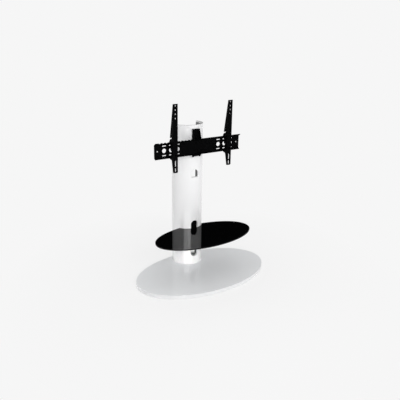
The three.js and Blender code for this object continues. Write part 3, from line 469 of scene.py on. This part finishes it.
# The inner face's grey is painted shade. These set where it fades out across the wall and how far
# down from the top the white rim reaches.
SHADE_FADE_START, SHADE_FADE_END = 0.0006, 0.0014
RIM_UNSHADED, RIM_FADE = 0.008, 0.001
INNER_PAINTED_SHADE = (0.165, 0.165, 0.168, 1)
column_radius = (column_high.x - column_low.x) / 2
column_axis = Vector((0, column_low.y + column_radius, 0))
column_middle = (column_low.z + column_high.z) / 2
wall_middle = column_radius - COLUMN_WALL / 2
wall_start = COLUMN_SPREAD - math.pi / 2
bpy.ops.object.select_all(action="DESELECT")
bpy.ops.mesh.primitive_plane_add(
    size=1,
    location=(
        column_axis.x + wall_middle * math.cos(wall_start),
        column_axis.y + wall_middle * math.sin(wall_start),
        column_middle,
    ),
    rotation=(math.pi / 2, 0, wall_start),
)
column = named("column_lacquered", (COLUMN_WALL, column_high.z - column_low.z, 1))
bpy.ops.object.mode_set(mode="EDIT")
bpy.ops.mesh.select_all(action="SELECT")
bpy.ops.mesh.spin(
    steps=COLUMN_STEPS, angle=2 * COLUMN_SPREAD, center=column_axis, axis=(0, 0, 1),
    use_normal_flip=False,
)
bpy.ops.mesh.select_all(action="SELECT")
bpy.ops.mesh.remove_doubles(threshold=WELD)
bpy.ops.mesh.fill_holes(sides=4)
bpy.ops.mesh.select_all(action="SELECT")
bpy.ops.mesh.normals_make_consistent(inside=False)
bpy.ops.object.mode_set(mode="OBJECT")


def slot_bar(x, y, z, width, height, depth, sides=OPENING_SIDES):
    """A bar along Y with round ends, long up and down or to the sides."""
    radius = min(width, height) / 2
    run = max(width, height) / 2 - radius
    bar = round_bar((x, y, z), radius, depth, sides, ALONG_Y)
    upright = height > width
    for vertex in bar.data.vertices:
        along = vertex.co.z - z if upright else vertex.co.x - x
        vertex.select = along > 0
    for vertex in bar.data.vertices:
        shift = run if vertex.select else -run
        if upright:
            vertex.co.z += shift
        else:
            vertex.co.x += shift
    return bar


glass_low, glass_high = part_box("shelf_glass")
foot_opening = board_high.z + FOOT_OPENING_RISE + FOOT_OPENING_HEIGHT / 2
shelf_opening = glass_high.z + (SHELF_OPENING_RISE - SHELF_OPENING_DROP) / 2
shelf_opening_height = SHELF_OPENING_RISE + SHELF_OPENING_DROP
arch_top = column_high.z - ARCH_DROP
arch_middle = arch_top - OPENING_WIDTH / 2
arch_place = (0, column_low.y, arch_middle)
arch_bar = round_bar(arch_place, OPENING_WIDTH / 2, OPENING_CUT, OPENING_SIDES, ALONG_Y)
for vertex in arch_bar.data.vertices:
    if vertex.co.z < arch_middle - TINY:
        vertex.co.z = arch_top - ARCH_HEIGHT
        on_middle = abs(vertex.co.x) < TINY
        vertex.co.x = 0 if on_middle else math.copysign(OPENING_WIDTH / 2, vertex.co.x)
only(arch_bar)
bpy.ops.object.mode_set(mode="EDIT")
bpy.ops.mesh.select_all(action="SELECT")
bpy.ops.mesh.remove_doubles(threshold=WELD)
bpy.ops.mesh.normals_make_consistent(inside=False)
bpy.ops.object.mode_set(mode="OBJECT")
cut_out(
    column,
    slot_bar(0, column_low.y, foot_opening, OPENING_WIDTH, FOOT_OPENING_HEIGHT, OPENING_CUT),
    slot_bar(0, column_low.y, shelf_opening, OPENING_WIDTH, shelf_opening_height, OPENING_CUT),
    arch_bar,
)
mount_levels = [middle_of(node).z for node in numbered("mount_bolt", 3)]
cut_out(
    column,
    *[
        round_bar((0, column_low.y, z), MOUNT_HOLE, MOUNT_HOLE_CUT, MOUNT_HOLE_SIDES, ALONG_Y)
        for z in mount_levels
    ],
)
soften(column, COLUMN_EDGE, 3)

satin_white, column_coat, column_tone, column_place = lacquer(
    "white_satin_lacquer", (0.81, 0.81, 0.815), roughness=0.1, peel=0.10, ior=1.45, coating=0.3
)
centred = add_node(satin_white, "ShaderNodeMapping")
centred.inputs["Location"].default_value = (0, -column_axis.y, 0)
wire(satin_white, column_place, "Object", centred, "Vector")
parts = add_node(satin_white, "ShaderNodeSeparateXYZ")
wire(satin_white, centred, "Vector", parts, "Vector")
flat_place = add_node(satin_white, "ShaderNodeCombineXYZ")
wire(satin_white, parts, "X", flat_place, "X")
wire(satin_white, parts, "Y", flat_place, "Y")
from_axis = add_node(satin_white, "ShaderNodeVectorMath", {"operation": "LENGTH"})
wire(satin_white, flat_place, "Vector", from_axis, "Vector")
inner_radius = column_radius - COLUMN_WALL
outside = add_node(
    satin_white, "ShaderNodeMapRange",
    From_Min=inner_radius + SHADE_FADE_START, From_Max=inner_radius + SHADE_FADE_END,
)
wire(satin_white, from_axis, "Value", outside, "Value")
rim_shade_top = column_high.z - RIM_UNSHADED
rim = add_node(
    satin_white, "ShaderNodeMapRange",
    From_Min=rim_shade_top, From_Max=rim_shade_top + RIM_FADE,
)
wire(satin_white, parts, "Z", rim, "Value")
# 1 on the outside, the cuts and the rim, 0 on the inner face, which gets the grey painted shade.
shade_free = add_node(satin_white, "ShaderNodeMath", {"operation": "MAXIMUM", "use_clamp": True})
wire(satin_white, outside, "Result", shade_free, 0)
wire(satin_white, rim, "Result", shade_free, 1)
column_mix = add_node(satin_white, "ShaderNodeMix", {"data_type": "RGBA"})
shaded_inside, coated = [socket for socket in column_mix.inputs if socket.type == "RGBA"]
mixed = next(socket for socket in column_mix.outputs if socket.type == "RGBA")
# The grey stands for the shade inside the column: painted shade.
shaded_inside.default_value = INNER_PAINTED_SHADE
wire(satin_white, shade_free, 0, column_mix, "Factor")
satin_white.node_tree.links.new(column_tone.outputs["Color"], coated)
satin_white.node_tree.links.new(mixed, column_coat.inputs["Base Color"])
column.data.materials.append(satin_white)
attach(column, "stand")
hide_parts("column")

# Shelf: one oval pane of black tempered glass with a ground and polished edge, notched at the
# back to fit round the column.
GLASS_DEPTH = 0.3508
GLASS_EDGE = 0.0009
COLUMN_GAP = 0.0008
NOTCH_CUT, NOTCH_SIDES = 0.05, 160
glass_middle = Vector((0, glass_low.y + GLASS_DEPTH / 2, (glass_low.z + glass_high.z) / 2))
bpy.ops.object.select_all(action="DESELECT")
bpy.ops.mesh.primitive_cylinder_add(
    vertices=OVAL_SIDES, radius=1, depth=glass_high.z - glass_low.z, location=glass_middle
)
glass = named("shelf_glass_polished", (glass_high.x, GLASS_DEPTH / 2, 1))
notch_place = (0, column_axis.y, glass_middle.z)
cut_out(glass, round_bar(notch_place, column_radius + COLUMN_GAP, NOTCH_CUT, NOTCH_SIDES))
soften(glass, GLASS_EDGE, 3)

black_glass = plain_finish(
    "black_gloss_glass", (0.0008, 0.0008, 0.0009), (0.0016, 0.0017, 0.0018),
    cloud=(7.0, 5.0, 0.6), gloss=(0.012, 0.05), IOR=1.31,
)
glass.data.materials.append(black_glass)
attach(glass, "stand")
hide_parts("shelf_glass")

# Crossbar: one steel sheet with its long edges folded forward, a deep lip along the top for the
# arms' hooks and a small one below, punched with round holes and slots, and powder coated.
rail_low, rail_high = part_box("rail")
RAIL_SHEET = 0.003
RAIL_WEB = 0.077
LIP_REACH, LIP_RISE = 0.0165, 0.012
LOWER_REACH, LOWER_FALL = 0.0105, 0.008
FOLD_RADIUS = 0.0022
RAIL_EDGE = 0.0005
RAIL_DROP = 0.1287
RAIL_CUT = 0.03
HOLE_PITCH, HOLE_START, HOLE_RADIUS, HOLE_SIDES = 0.0472, 0.1474, 0.0133, 48
SLOT_OFFSET, SLOT_LENGTH, SLOT_HEIGHT, SLOT_CUT = 0.0296, 0.026, 0.006, 0.014
SMALL_SIDES = 24
END_HOLE_INSET, END_HOLE_RADIUS = 0.021, 0.0037
NOTCH_START = HOLE_START + 2.75 * HOLE_PITCH
NOTCH_END, NOTCH_RADIUS, NOTCH_RISE = 0.038, 0.007, 0.0011
rail_middle = column_high.z - RAIL_DROP
rail_face = rail_high.y - RAIL_SHEET
bpy.ops.object.select_all(action="DESELECT")
bpy.ops.mesh.primitive_plane_add(
    size=1, location=(0, rail_face, rail_middle), rotation=ALONG_Y
)
rail = named("rail_folded", (rail_high.x - rail_low.x, RAIL_WEB, 1))


def select_edges(piece, wanted):
    """Selects, in object mode, the edges whose two ends both pass a test."""
    mesh = piece.data
    for item in [*mesh.vertices, *mesh.edges, *mesh.polygons]:
        item.select = False
    for edge in mesh.edges:
        if all(wanted(mesh.vertices[v].co) for v in edge.vertices):
            edge.select = True
            for v in edge.vertices:
                mesh.vertices[v].select = True


web_top = rail_middle + RAIL_WEB / 2
web_bottom = rail_middle - RAIL_WEB / 2
for level, move in [
    (web_top, (0, -LIP_REACH, LIP_RISE)),
    (web_bottom, (0, -LOWER_REACH, -LOWER_FALL)),
]:
    select_edges(rail, lambda co: abs(co.z - level) < TINY and abs(co.y - rail_face) < TINY)
    only(rail)
    bpy.ops.object.mode_set(mode="EDIT")
    bpy.ops.mesh.extrude_region_move(TRANSFORM_OT_translate={"value": move})
    bpy.ops.object.mode_set(mode="OBJECT")
select_edges(rail, lambda co: abs(co.y - rail_face) < TINY)
for edge in rail.data.edges:
    ends = [rail.data.vertices[v].co for v in edge.vertices]
    if abs(ends[0].z - ends[1].z) > TINY:
        edge.select = False
bpy.ops.object.mode_set(mode="EDIT")
bpy.ops.mesh.select_mode(type="EDGE")
bpy.ops.mesh.bevel(offset=FOLD_RADIUS, segments=5, affect="EDGES")
bpy.ops.mesh.select_all(action="SELECT")
bpy.ops.mesh.normals_make_consistent(inside=False)
bpy.ops.object.mode_set(mode="OBJECT")
facing = sum(p.normal.y * p.area for p in rail.data.polygons)
thicken_to = 1.0 if facing > 0 else -1.0
worked(rail, "SOLIDIFY", thickness=RAIL_SHEET, offset=thicken_to, use_even_offset=True)

rail_cutters = []
for side in (-1, 1):
    for i in range(3):
        hole_x = side * (HOLE_START + i * HOLE_PITCH)
        hole_place = (hole_x, rail_face, rail_middle)
        rail_cutters.append(round_bar(hole_place, HOLE_RADIUS, RAIL_CUT, HOLE_SIDES, ALONG_Y))
        for up in (-1, 1):
            slot_place = (hole_x, rail_face, rail_middle + up * SLOT_OFFSET)
            rail_cutters.append(
                slot_bar(*slot_place, SLOT_LENGTH, SLOT_HEIGHT, SLOT_CUT, SMALL_SIDES)
            )
    end_place = (side * (rail_high.x - END_HOLE_INSET), rail_face, rail_middle)
    rail_cutters.append(round_bar(end_place, END_HOLE_RADIUS, RAIL_CUT, SMALL_SIDES, ALONG_Y))
cut_out(rail, *rail_cutters)
notches = []
notch_x = NOTCH_START
while notch_x > NOTCH_END:
    notch_place = (-notch_x, rail_low.y, rail_high.z + NOTCH_RISE)
    notches.append(round_bar(notch_place, NOTCH_RADIUS, RAIL_CUT, turn=ALONG_Y))
    notch_x -= HOLE_PITCH / 2
cut_out(rail, *notches)
soften(rail, RAIL_EDGE, 2)

powder_black = plain_finish(
    "black_powder_coat", (0.0006, 0.0006, 0.0007), (0.0018, 0.0018, 0.0020),
    cloud=(30.0, 5.0, 0.6), gloss=(0.38, 0.58), grain=1100.0, bump=(0.35, 0.0002),
    IOR=1.25, Specular_IOR_Level=0.04,
)
rail.data.materials.append(powder_black)
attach(rail, "stand")
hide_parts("rail")

# Mount bracket: a pressed steel channel that stands upright on spacers in front of the column,
# open to the front, with folded corners and tabs for the crossbar's bolts.
BRACKET_FOLD, BRACKET_EDGE = 0.0024, 0.0004
MERGE_GAP = 0.00002
FLAT_TURN = math.radians(0.5)


def pressed_copy(node, name):
    """A copy of a solid, its triangles merged to flat faces, so that its edges can be worked."""
    piece = bpy.data.objects.new(name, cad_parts[node].data.copy())
    bpy.context.scene.collection.objects.link(piece)
    piece.data.name = name
    piece.data.materials.clear()
    only(piece)
    bpy.ops.mesh.customdata_custom_splitnormals_clear()
    bpy.ops.object.mode_set(mode="EDIT")
    bpy.ops.mesh.select_mode(type="VERT")
    bpy.ops.mesh.select_all(action="SELECT")
    bpy.ops.mesh.remove_doubles(threshold=MERGE_GAP)
    bpy.ops.mesh.dissolve_limited(angle_limit=FLAT_TURN)
    bpy.ops.object.mode_set(mode="OBJECT")
    return piece


def fold(piece, wanted, radius):
    """Rounds the sharp corner edges that a fold in the sheet leaves."""
    select_edges(piece, wanted)
    only(piece)
    bpy.ops.object.mode_set(mode="EDIT")
    bpy.ops.mesh.select_mode(type="EDGE")
    bpy.ops.mesh.bevel(offset=radius, segments=4, affect="EDGES")
    bpy.ops.object.mode_set(mode="OBJECT")


bracket_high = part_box("mount_bracket")[1]
mount_bracket = pressed_copy("mount_bracket", "mount_bracket_pressed")
fold(
    mount_bracket,
    lambda co: abs(abs(co.x) - bracket_high.x) < TINY and abs(co.y - bracket_high.y) < TINY,
    BRACKET_FOLD,
)
soften(mount_bracket, BRACKET_EDGE, 2)
mount_bracket.data.materials.append(powder_black)
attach(mount_bracket, "stand")
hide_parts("mount_bracket")

# Screen arms: two folded steel channels that hang on the crossbar's lip. Each face has a row of
# slots for the screen's bolts, and each cheek a hook, a relief slit and a notched foot.
ARM_FOLD, ARM_EDGE, ARM_TOE = 0.0018, 0.0004, 0.006
for side_name in ("left", "right"):
    arm_low, arm_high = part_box(f"arm_{side_name}")
    arm = pressed_copy(f"arm_{side_name}", f"arm_{side_name}_pressed")
    fold(
        arm,
        lambda co: min(abs(co.x - arm_low.x), abs(co.x - arm_high.x)) < TINY
        and abs(co.y - arm_low.y) < TINY
        and co.z > arm_low.z + ARM_TOE,
        ARM_FOLD,
    )
    soften(arm, ARM_EDGE, 2)
    arm.data.materials.append(powder_black)
    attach(arm, f"arm_{side_name}")
    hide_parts(f"arm_{side_name}")

# Hidden steelwork: the shelf's bracket and the mount's backing plate are cut from sheet, rolled
# to the inside of the column, and powder coated like the rest.
PLATE_EDGE = 0.0005
for node in ("shelf_bracket", "backing_plate"):
    plate = pressed_copy(node, f"{node}_rolled")
    soften(plate, PLATE_EDGE, 2)
    plate.data.materials.append(powder_black)
    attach(plate, "stand")
    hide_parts(node)

# Foot bracket: rolled from zinc-plated sheet to the inside of the column, with a flat foot that
# the bolts through the base hold down.
zinc = plain_finish(
    "zinc_plate", (0.42, 0.43, 0.45), (0.66, 0.67, 0.68),
    cloud=(160.0, 5.0, 0.65), gloss=(0.22, 0.45), grain=1500.0, bump=(0.15, 0.0001), Metallic=1.0,
)
foot_bracket = pressed_copy("foot_bracket", "foot_bracket_rolled")
soften(foot_bracket, PLATE_EDGE, 2)
foot_bracket.data.materials.append(zinc)
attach(foot_bracket, "stand")
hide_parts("foot_bracket")

# Foot bolts and nuts: they run up through the base and the foot bracket, heads sunk in the
# base's underside. Like every fastener here they have rolled threads and chamfered or domed
# heads, and each kind is made once, on the Z axis with its head below, and copied to its places.
THREAD_ROOT, THREAD_TIP = 0.88, 0.85
HEAD_TURN, NUT_TURN = math.radians(35), math.radians(30)


def thread(radius, start, end, pitch):
    """The ridges of a thread from one height to another, and the chamfered tip after them."""
    points = []
    for i in range(int((end - start) / pitch)):
        points += [
            (radius * THREAD_ROOT, start + i * pitch),
            (radius, start + (i + 0.5) * pitch),
        ]
    return points + [(radius * THREAD_TIP, end)]


def pan_screw(name, head_radius, head, radius, length, pitch, socket_sides, socket_radius):
    """A round-headed screw: its head lies below Z = 0 and is domed, with a drive socket in it."""
    screw = turned(
        name,
        [
            (head_radius * 0.62, -head),
            (head_radius * 0.86, -head * 0.86),
            (head_radius, -head * 0.45),
            (head_radius, 0),
            (radius * 0.98, 0),
            *thread(radius, length * 0.25, length, pitch),
        ],
    )
    cut_out(screw, round_bar((0, 0, -head), socket_radius, head, socket_sides))
    only(screw)
    bpy.ops.object.shade_smooth_by_angle(angle=HEAD_TURN)
    return screw


def hex_nut(name, across, depth, bore):
    """A hexagon nut from Z = 0 up, with its corners chamfered at both faces."""
    bpy.ops.object.select_all(action="DESELECT")
    corner = across / math.sqrt(3)
    bpy.ops.mesh.primitive_cylinder_add(
        vertices=6, radius=corner, depth=depth, location=(0, 0, depth / 2)
    )
    nut = named(name)
    cut_out(nut, round_bar((0, 0, depth / 2), bore, depth * 2))
    flat, wide = across * 0.48, corner * 1.02
    dome = turned(
        "dome",
        [
            (flat, -TINY),
            (flat, 0),
            (wide, depth * 0.14),
            (wide, depth * 0.86),
            (flat, depth),
            (flat, depth + TINY),
        ],
        48,
    )
    worked(nut, "BOOLEAN", operation="INTERSECT", object=dome, solver="EXACT")
    bpy.data.objects.remove(dome)
    only(nut)
    bpy.ops.object.shade_smooth_by_angle(angle=NUT_TURN)
    return nut


def place_all(pattern, moves, material):
    """Copies a fastener to each node's place, where it stands for the node."""
    for node, move in moves.items():
        body = node if node.startswith("clamp_screw") else "stand"
        twin = copied(pattern, f"{node}_made", move, material)
        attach(twin, body)
        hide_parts(node)
    bpy.data.objects.remove(pattern)


def place_upright(pattern, nodes, level, material):
    """Copies an upright piece to its nodes' places, all with their Z = 0 at one height."""
    places = {node: middle_of(node) for node in nodes}
    moves = {node: Matrix.Translation((p.x, p.y, level)) for node, p in places.items()}
    place_all(pattern, moves, material)


bolt_low, bolt_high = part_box("foot_bolt_1")
FOOT_HEAD = 0.0045
foot_bolt = pan_screw(
    "foot_bolt_pattern", head_radius=0.008, head=FOOT_HEAD, radius=0.004,
    length=bolt_high.z - bolt_low.z - FOOT_HEAD, pitch=0.00125, socket_sides=6,
    socket_radius=0.0032,
)
place_upright(foot_bolt, numbered("foot_bolt", 4), bolt_low.z + FOOT_HEAD, zinc)
nut_low, nut_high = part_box("foot_nut_1")
foot_nut = hex_nut("foot_nut_pattern", across=0.0144, depth=nut_high.z - nut_low.z, bore=0.0043)
place_upright(foot_nut, numbered("foot_nut", 4), nut_low.z, zinc)

# Wall screws: short pan heads that hold the foot bracket and the shelf's bracket from inside to
# the column's wall.
WALL_SCREW_SEAT = 0.08528
wall_screw = pan_screw(
    "wall_screw_pattern", head_radius=0.0045, head=0.0026, radius=0.0022, length=0.013,
    pitch=0.0009, socket_sides=4, socket_radius=0.0016,
)
moves = {}
for node in numbered("foot_screw", 4) + numbered("shelf_wall_screw", 4):
    p = middle_of(node)
    out = Vector((p.x - column_axis.x, p.y - column_axis.y, 0)).normalized()
    turn = out.to_track_quat("Z", "X").to_matrix().to_4x4()
    seat = column_axis + out * WALL_SCREW_SEAT
    moves[node] = Matrix.Translation((seat.x, seat.y, p.z)) @ turn
place_all(wall_screw, moves, zinc)

# Shelf fixings: polished discs bonded under the glass, each held to the bracket by a screw from
# below.
SHELF_HEAD = 0.0033
BOSS_BORE, BOSS_BORE_CUT = 0.0033, 0.0076
boss_low, boss_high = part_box("shelf_boss_1")
boss_radius = (boss_high.x - boss_low.x) / 2
boss_height = boss_high.z - boss_low.z
shelf_boss = turned(
    "shelf_boss_pattern",
    [
        (boss_radius * 0.97, 0),
        (boss_radius, boss_height * 0.14),
        (boss_radius, boss_height * 0.86),
        (boss_radius * 0.97, boss_height),
    ],
    64,
)
cut_out(shelf_boss, round_bar((0, 0, 0), BOSS_BORE, BOSS_BORE_CUT))
only(shelf_boss)
bpy.ops.object.shade_smooth_by_angle(angle=HEAD_TURN)
place_upright(shelf_boss, numbered("shelf_boss", 3), boss_low.z, zinc)
screw_low, screw_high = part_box("shelf_screw_1")
shelf_screw = pan_screw(
    "shelf_screw_pattern", head_radius=0.0055, head=SHELF_HEAD, radius=0.003,
    length=screw_high.z - screw_low.z - SHELF_HEAD, pitch=0.001, socket_sides=6,
    socket_radius=0.0021,
)
shelf_screws = numbered("shelf_screw", 3)
place_upright(shelf_screw, shelf_screws, screw_low.z + SHELF_HEAD, zinc)

# Mount bolts: hexagon bolts run from the bracket's web through the spacers and the column's wall
# to nuts on the backing plate.
MOUNT_HEAD, MOUNT_ACROSS = 0.0053, 0.0144
MOUNT_RADIUS, MOUNT_SHANK, MOUNT_PLUG = 0.004, 0.0039, 0.0031
SPACER_RADIUS, SPACER_CHAMFER, SPACER_BORE = 0.0095, 0.0004, 0.0045
LIE_BACK = Matrix.Rotation(-math.pi / 2, 4, "X")


def place_lying(pattern, nodes, front, material):
    """Copies a piece to its nodes' places, turned to point backwards, its Z = 0 at one depth."""
    places = {node: middle_of(node) for node in nodes}
    moves = {
        node: Matrix.Translation((p.x, front, p.z)) @ LIE_BACK for node, p in places.items()
    }
    place_all(pattern, moves, material)


mount_low, mount_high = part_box("mount_bolt_1")
mount_length = mount_high.y - mount_low.y - MOUNT_HEAD
mount_bolt = turned(
    "mount_bolt_pattern",
    [
        (MOUNT_SHANK, -0.001),
        (MOUNT_SHANK, 0),
        *thread(MOUNT_RADIUS, mount_length * 0.5, mount_length, 0.00125),
    ],
)
head = hex_nut("mount_head", across=MOUNT_ACROSS, depth=MOUNT_HEAD, bore=0.0030)
head.data.transform(Matrix.Translation((0, 0, -MOUNT_HEAD)))
head_plug = turned("head_plug", [(MOUNT_PLUG, -MOUNT_HEAD * 0.9), (MOUNT_PLUG, 0)])
mount_bolt = joined([mount_bolt, head, head_plug])
place_lying(
    mount_bolt, numbered("mount_bolt", 3), mount_low.y + MOUNT_HEAD, powder_black,
)
nut_low, nut_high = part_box("mount_nut_1")
mount_nut = hex_nut(
    "mount_nut_pattern", across=MOUNT_ACROSS, depth=nut_high.y - nut_low.y, bore=0.0043
)
place_lying(mount_nut, numbered("mount_nut", 3), nut_low.y, zinc)
spacer_low, spacer_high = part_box("mount_spacer_1")
spacer_length = spacer_high.y - spacer_low.y
mount_spacer = turned(
    "mount_spacer_pattern",
    [
        (SPACER_RADIUS - SPACER_CHAMFER, 0),
        (SPACER_RADIUS, SPACER_CHAMFER),
        (SPACER_RADIUS, spacer_length - SPACER_CHAMFER),
        (SPACER_RADIUS - SPACER_CHAMFER, spacer_length),
    ],
    48,
)
cut_out(mount_spacer, round_bar((0, 0, spacer_length / 2), SPACER_BORE, spacer_length * 2))
only(mount_spacer)
bpy.ops.object.shade_smooth_by_angle(angle=HEAD_TURN)
spacers = numbered("mount_spacer", 3)
place_lying(mount_spacer, spacers, spacer_low.y, powder_black)

# Crossbar bolts: button heads in front, nuts behind the bracket's tabs.
RAIL_HEAD = 0.0033
rail_bolt_low, rail_bolt_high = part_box("rail_bolt_1")
rail_bolt = pan_screw(
    "rail_bolt_pattern", head_radius=0.0055, head=RAIL_HEAD, radius=0.003,
    length=rail_bolt_high.y - rail_bolt_low.y - RAIL_HEAD, pitch=0.001, socket_sides=6,
    socket_radius=0.0021,
)
place_lying(
    rail_bolt, numbered("rail_bolt", 4), rail_bolt_low.y + RAIL_HEAD, powder_black,
)
nut_low, nut_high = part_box("rail_nut_1")
rail_nut = hex_nut("rail_nut_pattern", across=0.0098, depth=nut_high.y - nut_low.y, bore=0.0033)
place_lying(rail_nut, numbered("rail_nut", 4), nut_low.y, zinc)

# Clamp screws: one in each arm, driven from the front through a hole in the face, which presses
# on the crossbar so that the arm stays where it is set.
CLAMP_HEAD = 0.006
clamp_low, clamp_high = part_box("clamp_screw_left")
clamp_screw = pan_screw(
    "clamp_screw_pattern", head_radius=0.005, head=CLAMP_HEAD, radius=0.003,
    length=clamp_high.y - clamp_low.y - CLAMP_HEAD, pitch=0.001, socket_sides=6,
    socket_radius=0.0026,
)
place_lying(
    clamp_screw, ("clamp_screw_left", "clamp_screw_right"), clamp_low.y + CLAMP_HEAD,
    powder_black,
)
